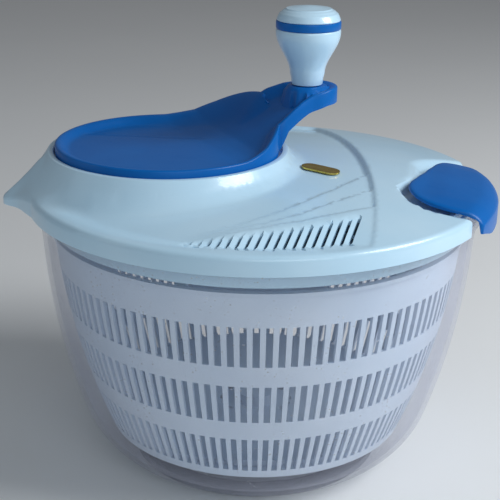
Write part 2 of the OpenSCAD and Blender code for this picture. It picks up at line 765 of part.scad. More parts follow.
module latch_retainer() color([0.85, 0.88, 0.93]) at_latch() difference() {
    translate([latch_post_x - retainer_edge, -latch_post_y - retainer_edge, post_low - retainer_t])
        cube([2 * retainer_edge, 2 * (latch_post_y + retainer_edge), retainer_t]);
    for (side = [-1, 1]) translate([latch_post_x, side * latch_post_y, post_low - 5])
        cylinder(10, r = 1.4, $fn = 32);
}

module latch_screws() color("silver") at_latch()
    for (side = [-1, 1]) translate([latch_post_x, side * latch_post_y, post_low - retainer_t])
        screw(1.2, 7, 2.6, 1.4);

bowl();
non_slip_ring();
pivot_pin();
basket_bush();
basket();
lid_shell();
emblem();
crank_bush();
crank();
crank_gear();
crank_washer();
crank_screw();
gear_cover();
gear_cover_screws();
axle_bush();
drive_pinion();
drive_axle();
drive_plate();
drive_screw();
knob_pin();
knob_body();
knob_ring();
knob_cap();
knob_clip();
latch();
latch_retainer();
latch_screws();
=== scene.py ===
"""Looks of the salad spinner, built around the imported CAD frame. Sizes in the tables are in mm."""

import json
import math

import bpy
import numpy as np
from mathutils import Matrix, Vector, geometry


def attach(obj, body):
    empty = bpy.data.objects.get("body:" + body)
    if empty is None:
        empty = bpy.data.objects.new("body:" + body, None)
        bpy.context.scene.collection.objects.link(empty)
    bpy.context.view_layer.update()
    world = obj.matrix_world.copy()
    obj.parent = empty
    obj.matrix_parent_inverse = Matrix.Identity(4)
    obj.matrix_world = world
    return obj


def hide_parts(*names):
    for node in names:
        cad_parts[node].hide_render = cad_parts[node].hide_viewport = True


MM = 0.001
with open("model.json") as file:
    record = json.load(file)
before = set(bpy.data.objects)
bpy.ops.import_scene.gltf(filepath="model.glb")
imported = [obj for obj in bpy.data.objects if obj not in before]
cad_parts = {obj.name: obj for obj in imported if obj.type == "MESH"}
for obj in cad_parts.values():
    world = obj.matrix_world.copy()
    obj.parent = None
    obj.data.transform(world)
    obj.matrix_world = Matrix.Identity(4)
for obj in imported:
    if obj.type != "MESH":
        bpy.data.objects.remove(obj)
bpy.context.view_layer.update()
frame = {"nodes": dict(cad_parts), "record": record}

# ---- sizes shared by several pieces ----
LID_R = 127.0
DOME_R = 124.0
DOME_SPHERE = 597.9
EDGE_Z = 160.0
DOME_RISE = 13.0
SKIRT_Z = 150.0
LID_WALL = 2.2
SPIGOT_R = 116.6
SPIGOT_FOOT = 140.0
SPIGOT_TOP = 159.5
TURRET = (-50.0, 0.0)
TURRET_R = 66.0
TURRET_TOP = 177.5
TURRET_FLOOR = 174.4
SPOUT = (math.cos(math.radians(187)), math.sin(math.radians(187)))
LATCH = (math.cos(math.radians(-12)), math.sin(math.radians(-12)))
ARM = (math.cos(math.radians(12.5)), math.sin(math.radians(12.5)))
KNOB = (-50 + 78 * ARM[0], 78 * ARM[1])
KNOB_Z = 210.0
KNOB_BODY = 30.7


# tags of a shell's points: the inset from its outline, or one of these
LINE = 50.0
FREE = 99.0
# smallest radius that a turned profile starts or ends at
TINY = 0.02


# ---- small tools ----
def smooth(t):
    t = min(1.0, max(0.0, t))
    return t * t * (3 - 2 * t)


def soft_max(a, b, k):
    """The larger of two heights, with a round fillet of size k where they cross."""
    if k <= 0:
        return max(a, b)
    h = max(k - abs(a - b), 0) / k
    return max(a, b) + h * h * k / 4


def lookup(table, x):
    return float(np.interp(x, [p[0] for p in table], [p[1] for p in table]))


def smooth_path(points, step, closed=False):
    """Points a step apart along a smooth curve through the given ones."""
    n = len(points)
    out = []
    for i in range(n if closed else n - 1):
        if closed:
            p = [np.array(points[(i + k) % n], float) for k in (-1, 0, 1, 2)]
        else:
            p = [np.array(points[min(n - 1, max(0, i + k))], float) for k in (-1, 0, 1, 2)]
        count = max(1, int(np.linalg.norm(p[2] - p[1]) / step + 0.5))
        for j in range(count):
            t = j / count
            square = 2 * p[0] - 5 * p[1] + 4 * p[2] - p[3]
            cube = 3 * p[1] - p[0] - 3 * p[2] + p[3]
            out.append(tuple(0.5 * (2 * p[1] + (p[2] - p[0]) * t + square * t * t + cube * t ** 3)))
    if not closed:
        out.append(tuple(points[-1]))
    return out


def offset_loop(loop, distance):
    """A closed anticlockwise loop moved inwards. The distance is one number, or one for each point."""
    n = len(loop)
    p = np.array(loop)
    d = np.full(n, distance) if np.isscalar(distance) else np.array(distance)
    out = []
    for i in range(n):
        a = p[i] - p[i - 1]
        b = p[(i + 1) % n] - p[i]
        na = np.array([-a[1], a[0]]) / np.linalg.norm(a)
        nb = np.array([-b[1], b[0]]) / np.linalg.norm(b)
        m = na + nb
        m = m / max(0.5, m.dot(na))
        out.append(tuple(p[i] + m * d[i]))
    return out


def inside(points, loop):
    """Which of the points lie inside a closed loop."""
    p = np.asarray(points)
    res = np.zeros(len(p), bool)
    q = np.asarray(loop)
    j = len(q) - 1
    for i in range(len(q)):
        (xi, yi), (xj, yj) = q[i], q[j]
        if yi != yj:
            crossing = (xj - xi) * (p[:, 1] - yi) / (yj - yi) + xi
            res ^= ((yi > p[:, 1]) != (yj > p[:, 1])) & (p[:, 0] < crossing)
        j = i
    return res


def distance_to(points, path):
    """Distance of each point to an open path."""
    p = np.asarray(points, float)
    best = np.full(len(p), 1e9)
    for a, b in zip(path[:-1], path[1:]):
        a, b = np.array(a, float), np.array(b, float)
        d = b - a
        t = np.clip(((p - a) @ d) / max(1e-9, d @ d), 0, 1)
        best = np.minimum(best, np.linalg.norm(p - (a + t[:, None] * d), axis=1))
    return best


def ring_points(centre, r, n, start=0.0):
    return [(centre[0] + r * math.cos(start + 2 * math.pi * i / n),
             centre[1] + r * math.sin(start + 2 * math.pi * i / n)) for i in range(n)]


def hex_grid(x0, x1, y0, y1, step):
    rows = int((y1 - y0) / (step * 0.866)) + 1
    return [(x0 + (i + 0.5 * (j % 2)) * step, y0 + j * step * 0.866)
            for j in range(rows) for i in range(int((x1 - x0) / step) + 1)]


def select_only(*objects):
    bpy.ops.object.select_all(action="DESELECT")
    for ob in objects:
        ob.select_set(True)
    bpy.context.view_layer.objects.active = objects[0]


def finish_piece(ob, angle=35):
    select_only(ob)
    bpy.ops.object.shade_smooth_by_angle(angle=math.radians(angle))
    return ob


def mesh_piece(name, verts, faces):
    mesh = bpy.data.meshes.new(name)
    mesh.from_pydata([(x * MM, y * MM, z * MM) for x, y, z in verts], [], faces)
    ob = bpy.data.objects.new(name, mesh)
    bpy.context.collection.objects.link(ob)
    return ob


def recalculate(ob):
    select_only(ob)
    bpy.ops.object.mode_set(mode="EDIT")
    bpy.ops.mesh.select_all(action="SELECT")
    bpy.ops.mesh.remove_doubles(threshold=1e-6)
    bpy.ops.mesh.normals_make_consistent(inside=False)
    bpy.ops.object.mode_set(mode="OBJECT")


def join(name, *pieces):
    select_only(*pieces)
    bpy.ops.object.join()
    ob = bpy.context.view_layer.objects.active
    ob.name = name
    return ob


def shell(name, outline, insets, holes, loose, top, under, angle=35):
    """A moulded shell over a plan, between a top and an under height function.

    insets holds (distance, scale of it at each outline point), holes holds (loop, tag), and loose
    holds free points.
    """
    pts, tags, edges = [], [], []

    def add_loop(loop, tag, link=True):
        start = len(pts)
        pts.extend(loop)
        tags.extend([tag] * len(loop))
        if link:
            edges.extend([(start + i, start + (i + 1) % len(loop)) for i in range(len(loop))])

    for inset, scale in insets:
        add_loop(offset_loop(outline, [inset * s for s in scale]) if inset else list(outline), inset)
    for hole, tag in holes:
        add_loop(hole, tag)
    inner = offset_loop(outline, [(insets[-1][0] + 1.0) * s for s in insets[-1][1]])
    keep = inside(loose, inner)
    for hole, _ in holes:
        keep &= ~inside(loose, hole)
    for p, k in zip(loose, keep):
        if k:
            pts.append(p)
            tags.append(FREE)
    out_v, _, out_f, orig, _, _ = geometry.delaunay_2d_cdt([Vector(p) for p in pts], edges, [], 0, 1e-5)
    verts2 = [(v.x, v.y) for v in out_v]
    tag = [min([tags[i] for i in o], default=FREE) for o in orig]
    mids = [tuple(np.mean([verts2[i] for i in f], axis=0)) for f in out_f]
    ok = inside(mids, outline)
    for hole, t in holes:
        if t != LINE:
            ok &= ~inside(mids, hole)
    faces = [tuple(f) for f, k in zip(out_f, ok) if k]
    n = len(verts2)
    zt = [top(x, y, t) for (x, y), t in zip(verts2, tag)]
    zb = [under(x, y, t, z) for (x, y), t, z in zip(verts2, tag, zt)]
    verts = [(x, y, z) for (x, y), z in zip(verts2, zt)] + [(x, y, z) for (x, y), z in zip(verts2, zb)]
    sides = dict.fromkeys((f[i], f[(i + 1) % len(f)]) for f in faces for i in range(len(f)))
    walls = [(b, a, a + n, b + n) for (a, b) in sides if (b, a) not in sides]
    all_faces = faces + [tuple(i + n for i in reversed(f)) for f in faces] + walls
    used = sorted({i for f in all_faces for i in f})
    where = {i: k for k, i in enumerate(used)}
    ob = mesh_piece(name, [verts[i] for i in used], [tuple(where[i] for i in f) for f in all_faces])
    recalculate(ob)
    return finish_piece(ob, angle)


def lathe(name, profile, centre=(0, 0), count=96, angle=30):
    """A closed profile of (radius, height) turned about an upright axis."""
    bpy.ops.object.select_all(action="DESELECT")
    r, z = profile[0]
    start = (centre[0] * MM, centre[1] * MM, z * MM)
    bpy.ops.mesh.primitive_circle_add(vertices=count, radius=r * MM, location=start)
    ob = bpy.context.object
    ob.name = name
    bpy.ops.object.transform_apply(location=True, rotation=True, scale=True)
    bpy.ops.object.mode_set(mode="EDIT")
    bpy.ops.mesh.select_all(action="SELECT")
    axis = Vector((centre[0] * MM, centre[1] * MM, 0))
    for r1, z1 in profile[1:]:
        bpy.ops.mesh.extrude_region_move(TRANSFORM_OT_translate={"value": (0, 0, (z1 - z) * MM)})
        k = r1 / r
        bpy.ops.transform.resize(value=(k, k, 1), center_override=axis)
        r, z = r1, z1
    bpy.ops.mesh.select_all(action="SELECT")
    bpy.ops.mesh.remove_doubles(threshold=2e-7)
    bpy.ops.mesh.fill_holes(sides=0)
    bpy.ops.mesh.normals_make_consistent(inside=False)
    bpy.ops.object.mode_set(mode="OBJECT")
    return finish_piece(ob, angle)




# ---- camera, light and floor, in metres, degrees and watts ----
CAMERA_DISTANCE = 0.65
CAMERA_RISE = 17.273
CAMERA_AIM_Z = 0.150
CAMERA_TURN = (-0.401, 19.982, 0.651)
CAMERA_LENS = 83.46
WORLD_COLOR = (0.93, 0.96, 1.0, 1)
WORLD_STRENGTH = 0.17
FLOOR_SIZE = 6
FLOOR_DROP = 0.0002


def build_camera():
    yaw, pitch, roll = (math.radians(a) for a in CAMERA_TURN)
    rise = math.radians(CAMERA_RISE)
    spot = Vector((0, -CAMERA_DISTANCE * math.cos(rise), CAMERA_AIM_Z + CAMERA_DISTANCE * math.sin(rise)))
    forward = Vector((math.sin(yaw) * math.cos(pitch), math.cos(yaw) * math.cos(pitch), -math.sin(pitch)))
    right = forward.cross(Vector((0, 0, 1))).normalized()
    up = right.cross(forward)
    right_rolled = right * math.cos(roll) + up * math.sin(roll)
    up_rolled = up * math.cos(roll) - right * math.sin(roll)
    data = bpy.data.cameras.new("camera")
    data.sensor_width = 36
    data.lens = CAMERA_LENS
    data.clip_start = 0.01
    ob = bpy.data.objects.new("camera", data)
    turn = Matrix((right_rolled, up_rolled, -forward)).transposed()
    ob.matrix_world = Matrix.Translation(spot) @ turn.to_4x4()
    bpy.context.collection.objects.link(ob)
    bpy.context.scene.camera = ob


def area_light(name, spot, size, power, color, target=(0, 0, 0.12)):
    data = bpy.data.lights.new(name, "AREA")
    data.shape = "RECTANGLE"
    data.size, data.size_y = size
    data.energy = power
    data.color = color
    ob = bpy.data.objects.new(name, data)
    ob.location = spot
    ob.rotation_euler = (Vector(target) - Vector(spot)).to_track_quat("-Z", "Y").to_euler()
    bpy.context.collection.objects.link(ob)


def build_studio():
    scene = bpy.context.scene
    scene.view_settings.view_transform = "Standard"
    scene.view_settings.look = "None"
    world = bpy.data.worlds.new("studio")
    world.use_nodes = True
    world.node_tree.nodes["Background"].inputs["Color"].default_value = WORLD_COLOR
    world.node_tree.nodes["Background"].inputs["Strength"].default_value = WORLD_STRENGTH
    scene.world = world
    area_light("window", (1.05, -0.25, 0.95), (0.7, 0.6), 14.5, (0.97, 0.99, 1.0))
    area_light("front_panel", (0.35, -1.3, 0.75), (1.0, 0.5), 3.6, (0.90, 0.97, 1.0))
    area_light("left_fill", (-1.2, -0.2, 0.6), (0.6, 0.8), 1.0, (0.70, 0.88, 1.0))
    bpy.ops.object.select_all(action="DESELECT")
    bpy.ops.mesh.primitive_plane_add(size=FLOOR_SIZE, location=(0, FLOOR_SIZE / 5, 0))
    floor = bpy.context.object
    floor.name = "floor"
    floor.location.z = -FLOOR_DROP
    bpy.ops.object.transform_apply(location=True)
    return floor


# ---- shader tools ----
class Value:
    """A number that varies over a surface. Sums and products of values add Math nodes."""

    def __init__(self, paint, socket):
        self.paint, self.socket = paint, socket

    def math(self, operation, *others):
        args = [self] + list(others)
        return self.paint.node("ShaderNodeMath", {"operation": operation}, dict(enumerate(args)))

    def __add__(self, o):
        return self.math("ADD", o)

    __radd__ = __add__

    def __sub__(self, o):
        return self.math("SUBTRACT", o)

    def __rsub__(self, o):
        return self.paint.node("ShaderNodeMath", {"operation": "SUBTRACT"}, {0: o, 1: self})

    def __mul__(self, o):
        return self.math("MULTIPLY", o)

    __rmul__ = __mul__

    def __pow__(self, o):
        return self.math("POWER", o)

    def between(self, low, high):
        limits = {0: self, 1: low, 2: high, 3: 0.0, 4: 1.0}
        return self.paint.node("ShaderNodeMapRange", {"clamp": True}, limits)


class Paint:
    """A procedural material on Object coordinates."""

    def __init__(self, name, **constants):
        self.material = bpy.data.materials.new(name)
        self.material.use_nodes = True
        self.tree = self.material.node_tree
        self.shader = self.tree.nodes["Principled BSDF"]
        for key, value in constants.items():
            self.shader.inputs[key.replace("_", " ")].default_value = value
        self.where = self.node("ShaderNodeTexCoord", {}, {}, "Object")

    def node(self, kind, settings, inputs, output=0):
        made = self.tree.nodes.new(kind)
        for key, value in settings.items():
            if key == "stops":
                ramp = made.color_ramp
                while len(ramp.elements) < len(value):
                    ramp.elements.new(0.5)
                for stop, (place, color) in zip(ramp.elements, value):
                    stop.position, stop.color = place, color
            else:
                setattr(made, key, value)
        for key, value in inputs.items():
            socket = made.inputs[key]
            if isinstance(value, Value):
                self.tree.links.new(value.socket, socket)
            else:
                socket.default_value = value
        return Value(self, made.outputs[output])

    def noise(self, scale, detail=3.0, roughness=0.55, stretch=(1, 1, 1)):
        spot = self.node("ShaderNodeMapping", {}, {"Vector": self.where, "Scale": stretch})
        return self.node("ShaderNodeTexNoise", {}, {"Vector": spot, "Scale": scale, "Detail": detail,
                                                    "Roughness": roughness}, "Fac")

    def cells(self, scale, output="Distance", randomness=1.0):
        return self.node("ShaderNodeTexVoronoi", {}, {"Vector": self.where, "Scale": scale,
                                                      "Randomness": randomness}, output)

    def mix(self, a, b, factor):
        made = self.tree.nodes.new("ShaderNodeMix")
        made.data_type = "RGBA"
        for socket, value in ((made.inputs[0], factor), (made.inputs[6], a), (made.inputs[7], b)):
            if isinstance(value, Value):
                self.tree.links.new(value.socket, socket)
            else:
                socket.default_value = value
        return Value(self, made.outputs[2])

    def feed(self, **inputs):
        for key, value in inputs.items():
            self.tree.links.new(value.socket, self.shader.inputs[key.replace("_", " ")])

    def bump(self, height, depth, strength=1.0):
        inputs = {"Strength": strength, "Distance": depth, "Height": height}
        self.feed(Normal=self.node("ShaderNodeBump", {}, inputs, "Normal"))


def rgb(r, g, b):
    return (r, g, b, 1.0)


def moulded(name, dark, light, roughness, grain, coat=0.0, scuff=0.5, sheen_ior=1.5):
    """Moulded plastic: slight shade changes, a fine grain and faint rub marks."""
    paint = Paint(name, IOR=sheen_ior, Coat_Roughness=0.05)
    cloud = paint.noise(14, 4)
    fine = paint.noise(900, 2)
    rubs = paint.noise(60, 5, 0.7, (1, 1, 6)).between(0.52, 0.75)
    paint.feed(Base_Color=paint.mix(dark, light, cloud.between(0.3, 0.7)),
               Roughness=roughness + 0.05 * fine + 0.10 * scuff * rubs)
    paint.shader.inputs["Coat Weight"].default_value = coat
    paint.bump(fine * grain + cloud * 0.2, 0.0002, 0.25)
    return paint.material


def metal(name, dark, light, roughness, stretch=(1, 1, 30)):
    paint = Paint(name)
    brushed = paint.noise(260, 4, 0.6, stretch)
    paint.shader.inputs["Metallic"].default_value = 1.0
    paint.feed(Base_Color=paint.mix(dark, light, brushed.between(0.3, 0.7)),
               Roughness=roughness + 0.15 * brushed)
    paint.bump(brushed, 0.00005, 0.3)
    return paint.material


def clear_bowl_plastic():
    """Clear plastic with a faint violet tint, denser at grazing angles, with beads of water on it."""
    paint = Paint("clear_plastic", IOR=1.46, Roughness=0.06, Coat_Roughness=0.02)
    facing = paint.node("ShaderNodeLayerWeight", {}, {"Blend": 0.5}, "Facing")
    beads = 1.0 - paint.cells(330, randomness=1.0).between(0.10, 0.22)
    chance = paint.noise(70, 2).between(0.50, 0.62)
    drops = beads * chance
    haze = paint.noise(18, 4).between(0.35, 0.75)
    paint.feed(Base_Color=paint.mix(rgb(0.52, 0.54, 0.66), rgb(0.93, 0.95, 1.0), drops),
               Alpha=0.05 + 0.50 * facing ** 3.0 + 0.03 * haze + 0.28 * drops,
               Roughness=0.05 + 0.08 * haze)
    paint.bump(drops, 0.0005, 0.6)
    paint.material.surface_render_method = "DITHERED"
    return paint.material


def rubber():
    paint = Paint("grey_rubber", IOR=1.45)
    fine = paint.noise(700, 3)
    paint.feed(Base_Color=paint.mix(rgb(0.10, 0.11, 0.13), rgb(0.17, 0.18, 0.21), fine),
               Roughness=0.6 + 0.15 * fine)
    paint.bump(fine, 0.0002, 0.4)
    return paint.material


def build_materials():
    steel = rgb(0.45, 0.46, 0.48), rgb(0.72, 0.73, 0.75)
    acetal = rgb(0.66, 0.66, 0.62), rgb(0.76, 0.76, 0.72)
    basket = rgb(0.60, 0.72, 0.88), rgb(0.70, 0.80, 0.93)
    white = rgb(0.50, 0.74, 0.92), rgb(0.58, 0.80, 0.96)
    blue = rgb(0.0, 0.11, 0.42), rgb(0.0, 0.14, 0.50)
    gold = rgb(0.55, 0.36, 0.05), rgb(0.85, 0.62, 0.16)
    bronze = rgb(0.40, 0.24, 0.10), rgb(0.60, 0.40, 0.20)
    return {
        "clear_plastic": clear_bowl_plastic(),
        "grey_rubber": rubber(),
        "steel": metal("steel", *steel, 0.22),
        "acetal": moulded("acetal", *acetal, 0.42, 0.6),
        "basket_plastic": moulded("basket_plastic", *basket, 0.30, 0.3),
        "white_plastic": moulded("white_plastic", *white, 0.26, 0.3, 0.3),
        "blue_plastic": moulded("blue_plastic", *blue, 0.30, 0.3, 0.0, 0.5, 1.33),
        "gold_badge": metal("gold_badge", *gold, 0.22, (1, 8, 1)),
        "bronze": metal("bronze", *bronze, 0.35),
    }


# ---- lid ----
def dome(r):
    return EDGE_Z + DOME_RISE - DOME_SPHERE + math.sqrt(DOME_SPHERE ** 2 - r * r)


# the beak: (distance along it, height) of its ridge and its foot, and (distance, half width)
BEAK_RIDGE = [(90, 177.6), (113.5, 177.6), (116.7, 175.6), (119, 173.0), (122.4, 169.6), (125.2, 167.2),
              (130.8, 162.2), (136.5, 156.9), (139.3, 154.4), (140.5, 153.2)]
BEAK_FOOT = [(90, 165), (108, 163), (115, 162), (124, 159), (130, 156.3), (137, 153.6), (140.5, 152.4)]
BEAK_SPREAD = [(80, 54), (92, 50), (107.8, 38), (115.6, 35), (123.5, 31), (127, 25), (130, 18),
               (133.5, 11.5), (136.5, 8.0), (139, 6.0), (141, 4.5)]
BEAK_OUTLINE = [(123.4, 30), (125.4, 26), (127.5, 21.5), (129.8, 16.5), (132.1, 12.4), (134.5, 9.0),
                (136.8, 6.4), (138.8, 4.3), (140.1, 2.2), (140.5, 0)]
# the edges of the three terraces in the sunken panel
TERRACES = [
    [(57.2, -19.5), (36.8, -48.1), (20.9, -66.3), (10.7, -76.7), (1.9, -83.9), (-8.7, -91.6), (-22.8, -98.3),
     (-36, -102)],
    [(57.8, -44.4), (41.2, -60.6), (20.5, -80.4), (10.6, -86.7), (0.9, -92.4), (-8.6, -96.6), (-22.7, -100.8),
     (-36, -104)],
    [(58, -66.7), (40.3, -77.6), (20.2, -89.6), (10.6, -93), (1, -97.5), (-9, -101), (-22, -105),
     (-36, -107)]]
PANEL_DEPTH = [2.6, 2.0, 1.3, 0.7]
# centre and radius of the panel's curved edge
PANEL_EDGE = (61 - 480, -30, 480)
# the edge of the pocket that the latch slides in
POCKET = [(124, 43.5), (118, 40.8), (108.9, 36.1), (99, 29.5), (92.0, 22.7), (85.5, 12.1), (83.2, -3.3),
          (81.4, -14.9), (77.6, -25.3), (73.6, -33.4), (72.9, -41.2), (75.6, -52.8), (82.4, -62), (91.6, -66),
          (102, -66.6), (108, -66.6)]
POCKET_DEPTH = 5.2
POCKET_SLOPE = 8.5
POCKET_STEEP = 5.0
RIM_STEP = 2.6
# the notch in the lid's rim, across the latch, and how deep it goes
NOTCH_LOW = -43.0
NOTCH_HIGH = 47.0
NOTCH_R = 117.5
HUB_HOLE_R = 13.5
VENT_COUNT = 18
VENT_SHORT = 3.5
VENT_LONG = 29
VENT_PITCH = 4.46
VENT_X = -32.5
VENT_R = 117.0
VENT_LEAN = math.radians(76.5)
VENT_SLOT = 1.9
VENT_BAR = VENT_PITCH * math.sin(VENT_LEAN) - VENT_SLOT
VENT_DROP = 1.3


def terrace_y(line, x):
    return lookup(sorted(line), x)


def panel_drop(x, y):
    """How far the sunken panel and its terraces lie under the dome."""
    cx, cy, r = PANEL_EDGE
    inward = r - math.hypot(x - cx, y - cy)
    level = PANEL_DEPTH[3]
    for line, deep, shallow in zip(TERRACES, PANEL_DEPTH[:3], PANEL_DEPTH[1:]):
        here = (y - terrace_y(line, x)) * 0.75
        fade = smooth((x + 36) / 30)
        step = smooth(here / 1.2 + 0.5)
        level += (deep - shallow) * (1 - fade * (1 - step))
    width = 1.2 + level * 1.1
    rim = smooth((DOME_R - math.hypot(x, y)) / (4 + 9 * smooth((20 - x) / 40)))
    return level * smooth(inward / width) * rim


def pocket_depth(points):
    deep = inside(points, POCKET + [(150, -66.6), (150, 43.5)])
    return np.where(deep, distance_to(points, smooth_path(POCKET, 2.0)), 0.0)


def lid_base(x, y):
    r = math.hypot(x, y)
    along = x * SPOUT[0] + y * SPOUT[1]
    across = abs(-x * SPOUT[1] + y * SPOUT[0])
    z = dome(min(r, DOME_R)) - 7.0 * smooth((r - DOME_R) / 16.5) * (1 if along > 100 else 0)
    z -= panel_drop(x, y)
    from_lip = math.hypot(x - TURRET[0], y - TURRET[1]) - TURRET_R
    if along > 80:
        t = across / lookup(BEAK_SPREAD, along)
        foot = lookup(BEAK_FOOT, along)
        t = (math.sqrt(t * t + 0.012) - 0.11) / (1.006 - 0.11)
        ridge = foot + (lookup(BEAK_RIDGE, along) - foot) * (1 - min(1.0, max(0.0, t))) ** 1.75
        ridge -= 20 * smooth((across / lookup(BEAK_SPREAD, along) - 1) * 2)
        z = soft_max(z, ridge, 3.0 * smooth(from_lip / 6) * smooth((134 - along) / 12))
    flank = TURRET_TOP - 0.15 - 1.55 * from_lip
    return soft_max(z, flank, 9.0 * smooth(from_lip / 6))


# (distance from the crank's axis, height) across the turret's recess and lip
LIP = [(0, TURRET_FLOOR), (62.45, TURRET_FLOOR), (62.8, 176.9), (63.3, 177.35), (64.4, TURRET_TOP),
       (65.4, 177.45), (66.0, 177.25)]
# (inset from the lid's outline, how far the edge is rounded down there)
EDGE_DROP = [(0, 3.0), (0.25, 1.8), (0.9, 0.85), (1.9, 0.2), (3.0, 0.0)]


def vent_length(i):
    return VENT_SHORT + (VENT_LONG - VENT_SHORT) * i / (VENT_COUNT - 1)


def vent_shapes():
    """Each slot's loop, its foot, the direction it leans in and the direction across it."""
    slots = []
    lean = np.array([math.cos(VENT_LEAN), math.sin(VENT_LEAN)])
    side = np.array([math.sin(VENT_LEAN), -math.cos(VENT_LEAN)])
    for i in range(VENT_COUNT):
        x = VENT_X + i * VENT_PITCH
        length = vent_length(i)
        foot = np.array([x, -math.sqrt(VENT_R ** 2 - x * x)])
        half = VENT_SLOT / 2
        loop = []
        steps = max(2, int(length / 2.2))
        straight = max(0.4, length - 2 * half)
        for k in range(steps + 1):
            loop.append(tuple(foot + lean * (half + straight * k / steps) + side * half))
        for a in (45, 90, 135):
            loop.append(tuple(foot + lean * (half + straight + half * math.sin(math.radians(a)))
                              + side * half * math.cos(math.radians(a))))
        for k in range(steps, -1, -1):
            loop.append(tuple(foot + lean * (half + straight * k / steps) - side * half))
        for a in (225, 270, 315):
            loop.append(tuple(foot + lean * (half + half * math.sin(math.radians(a)))
                              + side * half * math.cos(math.radians(a))))
        slots.append((loop, foot, lean, side))
    return slots


def lid_outline():
    """The lid's plan, anticlockwise, with the beak and the notch that the latch slides in."""
    beak = []
    full = smooth_path(BEAK_OUTLINE, 1.6)
    for along, across in full:
        beak.append((along * SPOUT[0] + across * SPOUT[1], along * SPOUT[1] - across * SPOUT[0]))
    mirror = [(along * SPOUT[0] - across * SPOUT[1], along * SPOUT[1] + across * SPOUT[0])
              for along, across in reversed(full[:-1])]
    beak = beak + mirror
    a0 = math.atan2(beak[0][1], beak[0][0]) % (2 * math.pi)
    a1 = math.atan2(beak[-1][1], beak[-1][0]) % (2 * math.pi)
    away = (-LATCH[1], LATCH[0])

    def at_latch(u, v):
        return (u * LATCH[0] + v * away[0], u * LATCH[1] + v * away[1])

    def round_rim(a, r):
        return (r * math.cos(a), r * math.sin(a))

    def rim_at(v, r):
        return at_latch(math.sqrt(r * r - v * v), v)

    high_rim = rim_at(NOTCH_HIGH, LID_R)
    low_rim = rim_at(NOTCH_LOW, LID_R)
    b0 = math.atan2(high_rim[1], high_rim[0])
    b1 = math.atan2(low_rim[1], low_rim[0])
    loop = []
    n = int((a0 - b0) * LID_R / RIM_STEP)
    loop += [round_rim(b0 + (a0 - b0) * i / n, LID_R) for i in range(n)]
    loop += beak
    sweep = 2 * math.pi + b1 - a1
    n = int(sweep * LID_R / RIM_STEP)
    loop += [round_rim(a1 + sweep * i / n, LID_R) for i in range(1, n + 1)]
    start, stop = rim_at(NOTCH_LOW, NOTCH_R), rim_at(NOTCH_HIGH, NOTCH_R)
    loop += [tuple(np.array(low_rim) + (np.array(start) - np.array(low_rim)) * k / 3) for k in (1, 2, 3)]
    c0, c1 = math.atan2(start[1], start[0]), math.atan2(stop[1], stop[0])
    loop += [round_rim(c0 + (c1 - c0) * i / 30, NOTCH_R) for i in range(1, 31)]
    loop += [tuple(np.array(stop) + (np.array(high_rim) - np.array(stop)) * k / 3) for k in (1, 2)]
    return loop


